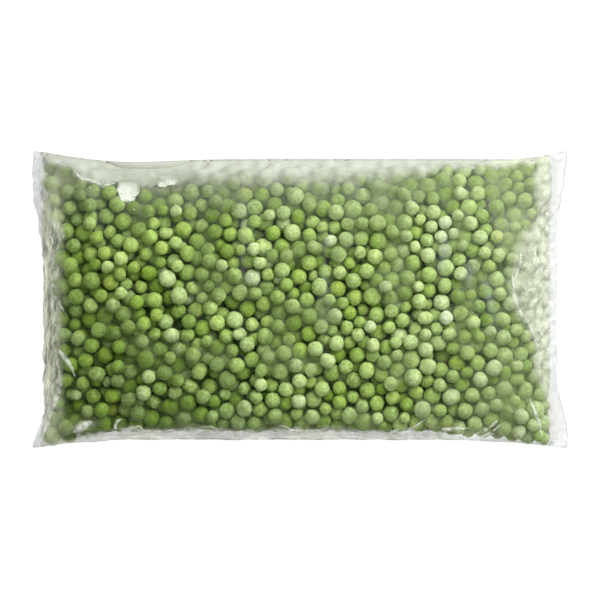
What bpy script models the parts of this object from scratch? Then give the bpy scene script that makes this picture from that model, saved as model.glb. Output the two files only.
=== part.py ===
"""A clear pillow bag of frozen green peas, lying flat with its shown side up.

The bag is one closed solid out to its film. It is a tube of film that is welded flat
along a seal at each end, with the peas shut inside, so nothing of it comes apart.
X runs from the left seal to the right seal, Y across the bag and Z up. The origin is on
the table, under the middle of the bag. Lengths are in metres.
"""

import math

import bmesh
import bpy
from mathutils import Vector, noise

# Driving sizes
LENGTH = 0.322  # over the ears of the two end seals
WIDTH = 0.179  # the tube pressed flat, which is the length of each seal
THICKNESS = 0.046  # of the filled middle, from the table to the crown, but for its unevenness
SEAL_THICKNESS = 0.0012  # two films welded together, with their crimp

# Plan outline
EAR = 0.0065  # how far a seal's corners stand out past its middle
EAR_SPAN = {  # shares of the way from a seal's middle to its corner where the ear begins and is full
    ("left", -1): (0.78, 1.00),
    ("left", 1): (0.25, 0.80),
    ("right", -1): (0.50, 0.92),
    ("right", 1): (0.45, 1.00),
}
SEAL_WIDTH = {"left": 0.0045, "right": 0.0045}  # in plan: the left one hangs down steeply
WAIST = 0.1680  # across the filled middle, narrower than the flat tube
FLARE_FROM = {  # distance from the middle where each side, near (-1) or far (1), widens again
    ("left", -1): 0.095,
    ("left", 1): 0.095,
    ("right", -1): 0.075,
    ("right", 1): 0.120,
}
FLARE_POWER = 2.0
HOLLOW_SIDE = 0.0017  # the slack in the far side, left of the middle
HOLLOW_AT = -0.100
HOLLOW_SPREAD = 0.035

# Heights of the line along the sides and ends where the upper and lower film meet
SIDE_FOLD = 0.0170
SEAL_ROOT = {"left": 0.0150, "right": 0.0100}
SEAL_TIP = {"left": 0.0065, "right": 0.0070}
SEAL_WAVE = 0.0011
SEAL_WAVES = 3.5

# How fast the filling swells up from the sides and the seals
NEAR_POWER = 2.9  # the near side is packed to its edge
FAR_POWER = 2.1  # the far side is slack, so it comes to a thinner edge
END_POWER = 2.5
END_REACH = 0.062
PRESSED = 0.0040  # how much of the lower side's swell the table flattens

# Uneven surface
SWELL = 0.0016  # broad rises and hollows in the filling
SWELL_SIZE = 0.060
LUMP = 0.0009  # lumps of a few peas
LUMP_SIZE = 0.017
FACE_SHIFT = 0.030  # moves the pattern between the two faces, so that they differ
PUCKER = 0.0019  # pleats that run in from the seals
PUCKERS = 8
PUCKER_REACH = 0.026

# Mesh
STEPS_ALONG = 54
STEPS_ACROSS = 36
CROWDING = {"along": 0.55, "across": 0.80}  # how far the steps crowd towards the edges, up to 1
FINEST = 1e-6

COLOURS = {"pea_green": (0.250, 0.340, 0.095, 1.0)}


def clear_scene():
    for old in list(bpy.data.objects):
        bpy.data.objects.remove(old, do_unlink=True)


def smooth(value):
    """Goes from 0 to 1 with no corner at either end."""
    value = min(1.0, max(0.0, value))
    return value * value * (3.0 - 2.0 * value)


def end_of(x):
    return "left" if x < 0.0 else "right"


def side_edge(x, side):
    """Y of the film's fold at the near (-1) or far (+1) side."""
    start = FLARE_FROM[end_of(x), side]
    flare = max(0.0, (abs(x) - start) / (LENGTH / 2 - start))
    edge = WAIST / 2 + (WIDTH - WAIST) / 2 * flare**FLARE_POWER
    if side > 0:
        edge -= HOLLOW_SIDE * math.exp(-(((x - HOLLOW_AT) / HOLLOW_SPREAD) ** 2))
    return side * edge


def seal_edge(end, across):
    """X of the cut edge of a seal. across runs from -1 at the near ear to 1 at the far ear."""
    sign = -1.0 if end == "left" else 1.0
    start, full = EAR_SPAN[end, 1 if across > 0.0 else -1]
    return sign * (LENGTH / 2 - EAR * (1.0 - smooth((abs(across) - start) / (full - start))))


def crowded(step, direction):
    """A step from -1 to 1 moved towards its nearer end, where the film curves most."""
    share = CROWDING[direction]
    return share * math.sin(step * math.pi / 2) + (1.0 - share) * step


def place_in_plan(along, across):
    """X and Y of a point of the film, with along and across each running from -1 to 1."""
    x = along * abs(seal_edge(end_of(along), across))
    near, far = side_edge(x, -1), side_edge(x, 1)
    return x, near + (far - near) * (across + 1.0) / 2


def swelling(x, y, across):
    """Share of the full thickness that the filling reaches here, 0 in the seals."""
    end = end_of(x)
    inwards = abs(seal_edge(end, across)) - SEAL_WIDTH[end] - abs(x)
    if inwards <= 0.0:
        return 0.0
    from_end = max(0.0, 1.0 - inwards / END_REACH)
    lengthways = (1.0 - from_end**END_POWER) ** (1.0 / END_POWER)
    side = 1 if y > 0.0 else -1
    power = FAR_POWER if side > 0 else NEAR_POWER
    outwards = min(1.0, y / side_edge(x, side))
    sideways = (1.0 - outwards**power) ** (1.0 / power)
    return lengthways * sideways


def fold_height(x, across):
    """Height of the line where the upper and the lower film meet."""
    end = end_of(x)
    from_tip = abs(seal_edge(end, across)) - abs(x)
    wave = SEAL_WAVE * math.sin(across * math.pi * SEAL_WAVES)
    seal = SEAL_TIP[end] + (SEAL_ROOT[end] - SEAL_TIP[end]) * smooth(from_tip / SEAL_WIDTH[end])
    rise = smooth((from_tip - SEAL_WIDTH[end]) / END_REACH)
    return (seal + wave) * (1.0 - rise) + SIDE_FOLD * rise


def unevenness(x, y, across, swell, side):
    """How far the film stands off its smooth form, from the peas under it and its pleats."""
    place = Vector((x, y, side * FACE_SHIFT))
    broad = noise.noise(place / SWELL_SIZE)
    lumps = noise.noise(place / LUMP_SIZE)
    end = end_of(x)
    inwards = abs(seal_edge(end, across)) - SEAL_WIDTH[end] - abs(x)
    pleats = math.cos(across * math.pi * PUCKERS) * math.exp(-max(0.0, inwards) / PUCKER_REACH)
    return swell * (SWELL * broad + LUMP * lumps + PUCKER * pleats)


def film_point(along, across, side):
    """A point of the upper (+1) or lower (-1) film."""
    x, y = place_in_plan(along, across)
    swell = swelling(x, y, across)
    fold = fold_height(x, across)
    reach = THICKNESS - SIDE_FOLD if side > 0 else SIDE_FOLD + PRESSED
    off = unevenness(x, y, across, swell, side)
    height = fold + side * (SEAL_THICKNESS / 2 + reach * swell) + off
    return Vector((x, y, max(0.0, height)))


def film_material():
    material = bpy.data.materials.new("filled_film")
    material.use_nodes = True
    shader = material.node_tree.nodes["Principled BSDF"]
    shader.inputs["Base Color"].default_value = COLOURS["pea_green"]
    shader.inputs["Roughness"].default_value = 0.35
    shader.inputs["Metallic"].default_value = 0.0
    return material


def make_bag(collection):
    """A flat sheet of film, drawn out into an upper and a lower face, and swollen between its seals."""
    body = bmesh.new()
    bmesh.ops.create_grid(body, x_segments=STEPS_ALONG, y_segments=STEPS_ACROSS, size=1.0)
    drawn = bmesh.ops.extrude_face_region(body, geom=body.faces[:], use_keep_orig=True)
    upper = {item for item in drawn["geom"] if isinstance(item, bmesh.types.BMVert)}
    for vertex in body.verts:
        along = crowded(vertex.co.x, "along")
        across = crowded(vertex.co.y, "across")
        vertex.co = film_point(along, across, 1 if vertex in upper else -1)
    bmesh.ops.remove_doubles(body, verts=body.verts[:], dist=FINEST)
    bmesh.ops.recalc_face_normals(body, faces=body.faces[:])
    mesh = bpy.data.meshes.new("filled_bag")
    body.to_mesh(mesh)
    body.free()
    mesh.materials.append(film_material())
    mesh.shade_smooth()
    bag = bpy.data.objects.new("filled_bag", mesh)
    collection.objects.link(bag)
    return bag


def main():
    clear_scene()
    parts = bpy.data.collections.new("frozen_pea_bag")
    bpy.context.scene.collection.children.link(parts)
    make_bag(parts)


main()
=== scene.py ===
"""A clear pillow bag of frozen green peas, lying flat with its shown side up.

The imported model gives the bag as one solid. This script fills that solid with peas that
are pushed together until they touch, lays the film over them, adds the frost under it,
and sets a plain stage. Lengths are in metres, X runs along the bag from the left seal to
the right one, Y across it and Z up. The near side is the one at -Y.
"""

import contextlib
import functools
import math

import bpy
import numpy as np
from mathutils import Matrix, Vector, bvhtree, kdtree, noise


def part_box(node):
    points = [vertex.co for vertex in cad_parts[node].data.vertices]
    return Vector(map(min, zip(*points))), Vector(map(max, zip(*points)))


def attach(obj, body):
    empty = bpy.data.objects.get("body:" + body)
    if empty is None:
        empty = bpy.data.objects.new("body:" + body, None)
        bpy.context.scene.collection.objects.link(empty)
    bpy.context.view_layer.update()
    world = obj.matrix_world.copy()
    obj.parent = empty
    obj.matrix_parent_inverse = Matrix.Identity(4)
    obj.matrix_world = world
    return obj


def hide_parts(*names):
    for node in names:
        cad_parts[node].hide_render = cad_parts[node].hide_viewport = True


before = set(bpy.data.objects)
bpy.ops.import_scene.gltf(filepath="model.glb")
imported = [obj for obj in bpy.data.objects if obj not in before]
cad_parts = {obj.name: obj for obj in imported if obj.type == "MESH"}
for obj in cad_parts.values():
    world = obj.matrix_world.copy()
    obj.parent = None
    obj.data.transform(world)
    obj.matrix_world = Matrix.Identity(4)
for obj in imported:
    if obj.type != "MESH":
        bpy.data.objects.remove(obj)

bl_info = {
    "name": "Frozen Pea Bag",
    "version": (1, 0, 0),
    "blender": (4, 5, 0),
    "location": "3D View > Sidebar > Pea Bag",
    "description": "Fills a clear pillow bag with frozen green peas and lays its film over them",
    "category": "Object",
}

BAG = "filled_bag"
BODY = "root"
LOW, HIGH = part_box(BAG)
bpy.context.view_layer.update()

# The heap
DEPTH_STEP = 0.0025  # between the points where the depth inside the bag is measured
FILM_GAP = 0.0003  # left between the peas and the film
SETTLE_ROUNDS = 260
SETTLE_PACE = 0.45  # share of each overlap that is cleared in a round
REFRESH = 13  # rounds between two searches for neighbours
FIRST_PEA = -0.1540  # the peas reach from here to LAST_PEA along the bag
LAST_PEA = 0.1508
REACH = 0.0125  # between the centres of peas that can come to touch
TRIES = 80000  # random places in the bag's box, from which the heap takes its peas
SPREAD_VOLUME = 1.03  # mean volume of the peas, for that of a pea of mean diameter
FAR_LEFT_GAP = 0.0032  # between the peas and the far side at the left end
LUMP_ROOM = (0.0036, 0.0044)  # kept clear of peas round each lump of frost
LUMP_SHIFT = 0.0012  # how far towards the far side that room is moved
LUMP_DEPTH = 0.0085  # peas deeper than this, and half of a lump, may lie under it

CORE_INSET = (10, 8)  # steps of the film's grid between the outline and the core
CORE_SHARE = 0.14  # of the bag's thickness
CORE_ROUGH = 0.0020
CORE_LUMPS = 0.0080

# The film's mesh and its relaxing
FILM_STEP = 0.00125
COARSE = 2  # the film is first relaxed on a grid this many times coarser
SEAL = 0.004  # width of the weld at each end, on the flat film
SEAL_THICKNESS = 0.0003
SEAL_HEIGHT = 0.0070  # of the film where the bag's surface isn't met
ON_SURFACE = 0.9995  # draws a point in so that it meets the bag's surface
LENGTH_FLAT = 0.325
WIDTH_FLAT = 0.180
RIM_REACH = 0.0033  # the outermost point within this distance is on the bag's outline
PEAS_FELT = 3
FEEL_ROUNDS = 60  # between two searches for the peas under the film
COARSE_ROUNDS = 150
FINE_ROUNDS = 150
CLING = 0.00002  # how far the film is drawn inwards in a round
CLING_ROUNDS = 5  # between two looks at which way is inwards
SHEAR_PUSH = 0.2  # how firmly the film keeps its slanting lengths up, beside its straight ones
STIFFNESS = 0.03
MOST_MOVE = 0.005
SEED_HEIGHT = 0.0008
SLACK_ALL = 0.1  # share of the slack that the whole film has, beside its crumpled parts
SLACK_ALONG = {"left": 1.2, "right": 0.8, "near": 0.2}
SLACK_ACROSS = {"left": 0.3, "right": 0.8, "near": 1.5}
SEED_SIZE = {"left": (0.003, 0.012), "right": (0.005, 0.006), "near": (0.016, 0.003)}
RAGGED = {"left": 0.0013, "right": 0.0006}  # how far the cut edges waver
RAGGED_SIZE = 0.009

# Where the film changes, as lines on the table in metres. Beyond the first two it is crumpled at
# the ends. Beyond the third it is smooth and milky, and beyond the fourth it is wrinkled.
RIGHT_LINE = (
    (0.1500, 0.0900), (0.1417, 0.0739), (0.1424, 0.0621), (0.1458, 0.0553), (0.1313, 0.0311),
    (0.1258, 0.0174), (0.1279, -0.0061), (0.1375, -0.0140), (0.1410, -0.0280), (0.1424, -0.0417),
    (0.1465, -0.0513), (0.1500, -0.0620), (0.1530, -0.0900),
)
LEFT_LINE = (
    (-0.1533, 0.0900), (-0.1530, 0.0670), (-0.1507, 0.0618), (-0.1500, 0.0528), (-0.1471, 0.0477),
    (-0.1423, 0.0453), (-0.1413, 0.0363), (-0.1437, 0.0303), (-0.1487, 0.0273), (-0.1490, 0.0207),
    (-0.1439, 0.0189), (-0.1443, 0.0141), (-0.1487, 0.0099), (-0.1490, 0.0027),
    (-0.1438, -0.0015), (-0.1446, -0.0144), (-0.1450, -0.0265), (-0.1438, -0.0361),
    (-0.1418, -0.0489), (-0.1442, -0.0561), (-0.1482, -0.0651), (-0.1515, -0.0739),
    (-0.1547, -0.0852),
)
FAR_LINE = (
    (-0.1600, 0.0880), (-0.1400, 0.0850), (-0.1350, 0.0755), (-0.1300, 0.0712), (-0.1257, 0.0711),
    (-0.1175, 0.0674), (-0.1110, 0.0690), (-0.0960, 0.0715), (0.1600, 0.0715),
)
NEAR_LINE = (
    (-0.1600, -0.0890), (-0.1515, -0.0868), (-0.1400, -0.0845), (-0.1250, -0.0820),
    (-0.1120, -0.0795), (-0.1023, -0.0768), (-0.0790, -0.0778), (-0.0600, -0.0760),
    (-0.0400, -0.0781), (-0.0190, -0.0783), (-0.0100, -0.0763), (0.0080, -0.0785),
    (0.0189, -0.0768), (0.0350, -0.0784), (0.0480, -0.0795), (0.0600, -0.0818),
    (0.0900, -0.0830), (0.1200, -0.0845), (0.1600, -0.0885),
)
# The green of the soft patches, where the milky film blurs the peas behind it. The left one is darker as
# painted shade, where less light falls at the left end.
SOFT_GREEN_AND_SHADE = {"left": (0.104, 0.160, 0.034), "right": (0.215, 0.295, 0.098)}
# The milk's colour at each part of the film, partly painted light and shade: lighter along the near side and
# the left end, which face away from the key light, darker along the far side, which faces it, and a bluish
# painted glint.
MILK_AND_PAINTED_LIGHT = {"far": (0.462, 0.486, 0.408), "near": (0.930, 0.940, 0.850), "left": (0.800, 0.840, 0.640),
        "right": (0.530, 0.570, 0.435), "glint": (0.400, 0.460, 0.500), "fin": (0.580, 0.580, 0.568)}
MOST_MILK = 0.94  # share of light that the thickest milk holds back
# Colours of the creases' lines: a dark line of painted shade, and a white line of whitened film with painted
# highlight.
CREASE_PAINTED_SHADE = (0.20, 0.23, 0.15, 1.0)
CREASE_WHITE_AND_HIGHLIGHT = (0.74, 0.76, 0.68, 1.0)
PLEAT_DULL = (0.56, 0.60, 0.47)
PLEAT_WHITE = (0.78, 0.81, 0.70)
FILM_TINT = (0.985, 0.990, 0.985, 1.0)
GLOSS_FACE, GLOSS_EDGE = 0.003, 0.35  # share of light that the film mirrors, seen flat and edge on
# Frost bloom with painted sheen on the peas that touch the film
BLOOM_AND_SHEEN_COLOUR = (0.86, 0.90, 0.74, 1.0)

# Holes in the haze at the right, where the film touches the peas: the middle and half size of each
HOLES = (
    ((0.1425, 0.0279), (0.0012, 0.0026)), ((0.1362, 0.0042), (0.0022, 0.0012)),
    ((0.1428, 0.0036), (0.0012, 0.0016)), ((0.1441, -0.0255), (0.0011, 0.0034)),
)

# Pleats that are pinched up from the film: half their width where they start and end, and the
# points they run through
PLEATS = (
    (0.0007, 0.0005, ((0.0517, -0.0808), (0.0597, -0.0768))),
    (0.0010, 0.0006, ((0.0557, -0.0808), (0.0677, -0.0763), (0.0757, -0.0703))),
    (0.0010, 0.0008, ((0.0797, -0.0813), (0.0857, -0.0773), (0.1007, -0.0768))),
    (0.0010, 0.0007, ((0.1025, -0.0813), (0.1110, -0.0775), (0.1177, -0.0720))),
    (0.0009, 0.0006, ((0.1051, -0.0834), (0.1143, -0.0788), (0.1197, -0.0745))),
    (0.0007, 0.0005, ((0.1097, -0.0828), (0.1167, -0.0793))),
    (0.0008, 0.0010, ((0.1367, -0.0593), (0.1397, -0.0661), (0.1423, -0.0737), (0.1443, -0.0821))),
    (0.0008, 0.0011, (
        (0.1264, 0.0150), (0.1268, 0.0040), (0.1289, -0.0044), (0.1313, -0.0086), (0.1365, -0.0141),
        (0.1385, -0.0190), (0.1407, -0.0255),
    )),
    (0.0006, 0.0008, ((0.1409, -0.0262), (0.1435, -0.0331), (0.1443, -0.0370))),
    (0.0009, 0.0006, (
        (-0.1050, -0.0714), (-0.1087, -0.0726), (-0.1103, -0.0755), (-0.1099, -0.0787),
        (-0.1083, -0.0811),
    )),
    (0.0016, 0.0024, ((-0.1233, -0.0726), (-0.1290, -0.0752), (-0.1353, -0.0792))),
    (0.0013, 0.0010, (
        (-0.1418, -0.0489), (-0.1442, -0.0571), (-0.1482, -0.0667), (-0.1514, -0.0755),
        (-0.1547, -0.0852),
    )),
    (0.0006, 0.0008, (
        (-0.1442, -0.0369), (-0.1474, -0.0441), (-0.1491, -0.0522), (-0.1515, -0.0609),
        (-0.1522, -0.0715),
    )),
    (0.0018, 0.0005, ((-0.1440, -0.0300), (-0.1394, -0.0353), (-0.1361, -0.0401), (-0.1337, -0.0458))),
    (0.0005, 0.0006, ((-0.1438, -0.0015), (-0.1410, -0.0075))),
    (0.0005, 0.0006, ((-0.1013, -0.0767), (-0.0957, -0.0755), (-0.0925, -0.0787))),
    (0.0006, 0.0007, ((-0.0714, -0.0787), (-0.0665, -0.0759), (-0.0641, -0.0767))),
    (0.0005, 0.0006, ((-0.0585, -0.0763), (-0.0536, -0.0755), (-0.0487, -0.0775))),
    (0.0006, 0.0006, (
        (-0.0115, -0.0747), (-0.0066, -0.0771), (-0.0017, -0.0787), (0.0096, -0.0783),
        (0.0169, -0.0767),
    )),
    (0.0010, 0.0008, (
        (-0.1350, 0.0770), (-0.1305, 0.0716), (-0.1257, 0.0711), (-0.1175, 0.0674), (-0.1103, 0.0691),
    )),
    (0.0006, 0.0005, (
        (0.1335, 0.0021), (0.1359, 0.0051), (0.1395, 0.0066), (0.1419, 0.0051), (0.1425, 0.0021),
    )),
    (0.0006, 0.0006, ((0.1413, 0.0321), (0.1401, 0.0279), (0.1419, 0.0231), (0.1443, 0.0189))),
    (0.0005, 0.0008, ((0.1317, 0.0297), (0.1311, 0.0225), (0.1287, 0.0147), (0.1269, 0.0093))),
    (0.0006, 0.0005, ((0.1467, -0.0153), (0.1443, -0.0213), (0.1455, -0.0291))),
)
PLEAT_STEP = 0.001
PLEAT_ROUND = 1.7  # radius of its profile, for each half of its width
PLEAT_SUNK = 0.6  # how far its round profile is sunk into the film, so that it is broad and low
PLEAT_WOBBLE = 0.0004
PLEAT_WAVES = 400.0  # of the wobble, for each metre

# Lumps of frost under the film: the middle of each, and half of its size
FROST = (
    ((-0.1023, 0.0652), (0.0062, 0.0069, 0.0012)),
    ((-0.0783, 0.0708), (0.0052, 0.0027, 0.0010)),
    ((-0.0822, 0.0690), (0.0030, 0.0022, 0.0010)),
)
FROST_GRAIN = ((0.0045, 0.0018), (0.0012, 0.0003))  # how wide and how high the lumps' unevenness is
FROST_GAP = 0.0009  # between a lump and the film
CRUMBS = 8

# The stage
FLOOR_DROP = 0.0002  # between the bag and the floor
FILL_SHARE = 0.18  # of the key light's power, that the fill light has
CAMERA_Y = -0.0004
CAMERA_RISE = 0.015


# Sizes and colours that a user may change

def setting(name, description, default, subtype="NONE"):
    return bpy.props.FloatProperty(name=name, description=description, default=default, subtype=subtype)


class PeaSettings(bpy.types.PropertyGroup):
    """What the peas measure, and how many of each kind there are"""

    diameter: setting("Diameter", "Mean diameter of a pea", 0.0097, "DISTANCE")
    spread: setting("Spread", "Standard deviation of the diameters", 0.00105, "DISTANCE")
    smallest: setting("Smallest", "Least diameter", 0.0060, "DISTANCE")
    largest: setting("Largest", "Greatest diameter", 0.0117, "DISTANCE")
    uneven: setting("Uneven", "How far below the film the lowest of the top peas lie", 0.0140, "DISTANCE")
    fill: setting("Fill", "Share of the room in the bag that the peas take up", 0.640, "FACTOR")
    wrinkled: setting("Wrinkled", "Share of peas with dents and wrinkles", 0.27, "FACTOR")
    pale: setting("Pale", "Share of peas of a pale green", 0.11, "FACTOR")
    yellow: setting("Yellow", "Share of peas of a yellower green", 0.030, "FACTOR")
    frosted: setting("Frosted", "Share of peas that are white with frost", 0.010, "FACTOR")
    young: setting("Young", "Share of small peas of a strong green", 0.05, "FACTOR")
    seed: bpy.props.IntProperty(name="Seed", description="Changes how the peas fall", default=7)


class FilmSettings(bpy.types.PropertyGroup):
    """How slack and how milky the film is"""

    slack: setting("Slack", "How much longer the film is than its way, where it is crumpled", 0.07, "FACTOR")
    haze: setting("Haze", "How milky the film is where it lies on the peas", 0.002, "FACTOR")
    milk: setting("Milk", "How light the milky film is", 1.0)


class StageSettings(bpy.types.PropertyGroup):
    """The floor, the lights and the camera"""

    floor: setting("Floor", "Side of the floor", 12.0, "DISTANCE")
    distance: setting("Camera Height", "Of the camera above the bag", 2.0, "DISTANCE")
    view: setting("View Width", "Width of what the camera sees at the bag", 0.360, "DISTANCE")
    key: setting("Key Light", "Power of the soft light from the far right", 17.6, "POWER")
    table: setting("Light Table", "How much light the floor itself gives", 0.98)
    sky: setting("Surrounding Light", "Strength of the light from all round", 0.36)


SETTINGS = {"pea_bag_peas": PeaSettings, "pea_bag_film": FilmSettings, "pea_bag_stage": StageSettings}


# Small helpers

def ramp(value, start, end):
    """Goes smoothly from 0 at start to 1 at end."""
    share = np.clip((np.asarray(value) - start) / (end - start), 0.0, 1.0)
    return share * share * (3.0 - 2.0 * share)


def hump(value, middle, spread):
    return np.exp(-(((np.asarray(value) - middle) / spread) ** 2))


def line_y(line, x):
    """Y of a line that runs along the bag."""
    return np.interp(x, *np.array(line).T)


def side_of(line, x, y):
    """How far x lies beyond a line that runs down the bag, more than 0 to its right."""
    points = np.array(line)[::-1]
    return x - np.interp(y, points[:, 1], points[:, 0])


def deselect_all():
    if bpy.context.mode != "OBJECT":
        bpy.ops.object.mode_set(mode="OBJECT")
    bpy.ops.object.select_all(action="DESELECT")


def activate(piece):
    deselect_all()
    piece.select_set(True)
    bpy.context.view_layer.objects.active = piece


def added(name, add, **options):
    """The piece that one of Blender's add operators makes."""
    deselect_all()
    add(**options)
    piece = bpy.context.object
    piece.name = name
    return piece


@contextlib.contextmanager
def edit_mode():
    """Puts the active piece in edit mode with all of it selected, and leaves edit mode at the end."""
    bpy.ops.object.mode_set(mode="EDIT")
    bpy.ops.mesh.select_all(action="SELECT")
    yield
    bpy.ops.object.mode_set(mode="OBJECT")


def finish_mesh(piece):
    """Applies a piece's place to its mesh, and smooths it."""
    activate(piece)
    bpy.ops.object.transform_apply(location=True, rotation=True, scale=True)
    bpy.ops.object.shade_smooth()
    deselect_all()


def roughen(piece, kind, size, strength):
    """Moves a piece's skin in and out by the lumps of a texture, which are about as wide as size."""
    activate(piece)
    lumps = bpy.data.textures.new(piece.name, kind)
    lumps.noise_scale = size
    rough = piece.modifiers.new("rough", "DISPLACE")
    rough.texture = lumps
    rough.strength = strength
    rough.texture_coords = "LOCAL"
    bpy.ops.object.modifier_apply(modifier=rough.name)
    bpy.data.textures.remove(lumps)


def corner_places(mesh):
    places = np.empty(len(mesh.vertices) * 3, np.float32)
    mesh.vertices.foreach_get("co", places)
    return places.reshape(-1, 3)


def point_tree(points):
    tree = kdtree.KDTree(len(points))
    for index, point in enumerate(points):
        tree.insert(point, index)
    tree.balance()
    return tree


def lengths(vectors):
    return np.sqrt(np.einsum("...i,...i->...", vectors, vectors)) + 1e-9


def place_piece(piece):
    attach(piece, BODY)
    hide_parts(BAG)


# The room inside the bag

class Field:
    """Values on an even grid of points, read anywhere between them."""

    def __init__(self, low, step, values):
        self.low = np.array(low)
        self.step = step
        self.values = values

    def at(self, points):
        place = (points - self.low) / self.step
        most = np.array(self.values.shape) - 1.001
        place = np.clip(place, 0.0, most)
        cell = place.astype(int)
        part = place - cell
        total = np.zeros(len(points))
        for corner in np.ndindex(2, 2, 2):
            weight = np.prod(np.where(corner, part, 1.0 - part), axis=1)
            i, j, k = (cell + corner).T
            total += weight * self.values[i, j, k]
        return total

    def slope(self, points):
        """Unit vectors towards higher values."""
        ways = np.empty_like(points)
        for axis in range(3):
            shift = np.zeros(3)
            shift[axis] = self.step / 2
            ways[:, axis] = self.at(points + shift) - self.at(points - shift)
        return ways / np.maximum(np.linalg.norm(ways, axis=1, keepdims=True), 1e-9)


@functools.lru_cache
def bag_tree():
    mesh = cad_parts[BAG].data
    corners = [vertex.co.copy() for vertex in mesh.vertices]
    return bvhtree.BVHTree.FromPolygons(corners, [tuple(face.vertices) for face in mesh.polygons])


@functools.lru_cache
def depth_field():
    """How deep each point lies inside the bag, less than 0 outside it."""
    tree = bag_tree()
    low = np.array(LOW) - DEPTH_STEP
    counts = np.ceil((np.array(HIGH) - low) / DEPTH_STEP).astype(int) + 2
    values = np.empty(counts)
    up = Vector((0.0, 0.0, 1.0))
    for index in np.ndindex(*counts):
        point = Vector(low + np.array(index) * DEPTH_STEP)
        distance = tree.find_nearest(point)[3]
        above = tree.ray_cast(point, up)[1]
        values[index] = distance if above is not None and above.z > 0.0 else -distance
    return Field(low, DEPTH_STEP, values)


def stand_off(points):
    """How far beyond the peas the film has to lie, outwards and up.

    The peas have sunk away from the film along the far side and at both ends, and the near
    side is slack below them.
    """
    x, y = points[:, 0], points[:, 1]
    from_far, from_near = HIGH.y - y, y - LOW.y
    from_left, from_right = x - LOW.x, HIGH.x - x
    middle = ramp(np.abs(y), 0.080, 0.055)
    off = np.zeros_like(points)
    off[:, 0] = -0.0012 * ramp(from_left, 0.026, 0.014) * middle
    off[:, 1] = 0.0005 * ramp(from_far, 0.026, 0.014)
    packed = 1.0 - 0.75 * ramp(x, 0.078, 0.102)
    off[:, 1] -= 0.0040 * ramp(from_near, 0.024, 0.012) * ramp(np.abs(x), 0.146, 0.128) * packed
    off[:, 2] = 0.0020 * ramp(from_far, 0.028, 0.012) * ramp(np.abs(x), 0.152, 0.138)
    off[:, 2] += 0.0045 * ramp(from_far, 0.034, 0.018) * hump(from_left, 0.052, 0.018)
    off[:, 2] += 0.0030 * ramp(from_right, 0.036, 0.022) * ramp(from_near, 0.020, 0.045) * middle
    return off


def inland(points):
    """0 along the bag's outline, where the peas fill it to its skin, and 1 or nearly so inside it."""
    x, y = points[:, 0], points[:, 1]
    along = np.minimum(HIGH.x - x, x - LOW.x)
    across = np.minimum(HIGH.y - y, y - LOW.y)
    return ramp(np.minimum(along, across), 0.006, 0.034) * (1.0 - 0.45 * ramp(x + 0.7 * y, -0.10, 0.03))


def spare(points):
    """How far the film gives way to the peas, which are packed into the bag's corners."""
    x, y = np.abs(points[:, 0]), np.abs(points[:, 1])
    return 0.0030 * ramp(x, 0.118, 0.142) * ramp(y, 0.045, 0.070)


def lump_width(down):
    """Width of a lump of frost, which is rounded off towards its near end."""
    return 1.0 - 0.42 * ramp(down, 0.10, 1.25)


def from_lump(x, y, middle, half):
    """0 in the middle of a lump of frost and 1 at its outline, a box with rounded corners."""
    down = (middle[1] - y) / half[1]
    aside = (x - middle[0]) / (half[0] * lump_width(down))
    return (aside**4 + down**4) ** 0.25


# The heap of peas

@functools.lru_cache
def heap():
    """Centres, radii and kinds of the peas that may be seen, pushed together until they touch."""
    sizes = bpy.context.scene.pea_bag_peas
    chance = np.random.default_rng(sizes.seed)
    depth = depth_field()

    def away(points, shy):
        """The two places that both have to lie as deep in the bag as the pea is thick."""
        off = stand_off(points)
        off[:, 2] += shy * inland(points)
        return points, points + off

    box = np.prod(np.array(HIGH) - np.array(LOW))
    tries = chance.uniform(LOW, HIGH, (TRIES, 3))
    shy = sizes.uneven * chance.random(len(tries))
    room = np.minimum(*(depth.at(place) + spare(place) for place in away(tries, shy))) - FILM_GAP
    inside = np.flatnonzero(room > 0.0)
    volume = math.pi / 6 * sizes.diameter**3 * SPREAD_VOLUME
    count = int(sizes.fill * box * len(inside) / len(tries) / volume)
    inside = inside[room[inside] > sizes.smallest / 2][:count]
    centres, shy = tries[inside], shy[inside]
    radii = chance.normal(sizes.diameter, sizes.spread, count)
    young = chance.random(count) < sizes.young
    radii[young] -= sizes.spread / 2
    radii = np.clip(radii, sizes.smallest, sizes.largest) / 2
    near, far = (rim(1, side, RIM_REACH) for side in (-1.0, 1.0))
    for turn in range(SETTLE_ROUNDS):
        if turn % REFRESH == 0:
            first, second = neighbours(centres)
        centres = push_apart(centres, radii, first, second)
        for place in away(centres, shy):
            wanting = radii + FILM_GAP - depth.at(place) - spare(place)
            caught = wanting > 0.0
            centres[caught] += depth.slope(place[caught]) * wanting[caught, None]
        sides = [np.interp(centres[:, 0], side[:, 0], side[:, 1]) for side in (near, far)]
        sides[1] -= FAR_LEFT_GAP * ramp(-centres[:, 0], 0.122, 0.138)
        centres[:, 1] = np.clip(centres[:, 1], sides[0] + radii, sides[1] - radii)
        centres[:, 0] = np.clip(centres[:, 0], FIRST_PEA + radii, LAST_PEA - radii)
        centres[:, 2] = np.maximum(centres[:, 2], radii + FILM_GAP)
    inside = depth.at(centres)
    kept = inside > sizes.smallest / 4
    for middle, half in FROST:
        reach = half[0] + LUMP_ROOM[0], half[1] + LUMP_ROOM[1]
        beside = from_lump(centres[:, 0], centres[:, 1], (middle[0], middle[1] + LUMP_SHIFT), reach)
        kept &= (beside > 1.0) | (inside > LUMP_DEPTH + half[2])
    return centres[kept], radii[kept], young[kept]


def neighbours(centres):
    """Pairs of peas that are near enough to come to touch."""
    tree = point_tree(centres)
    pairs = [
        (index, other)
        for index, centre in enumerate(centres)
        for _, other, _ in tree.find_range(centre, REACH)
        if other > index
    ]
    return np.array(pairs).T


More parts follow.
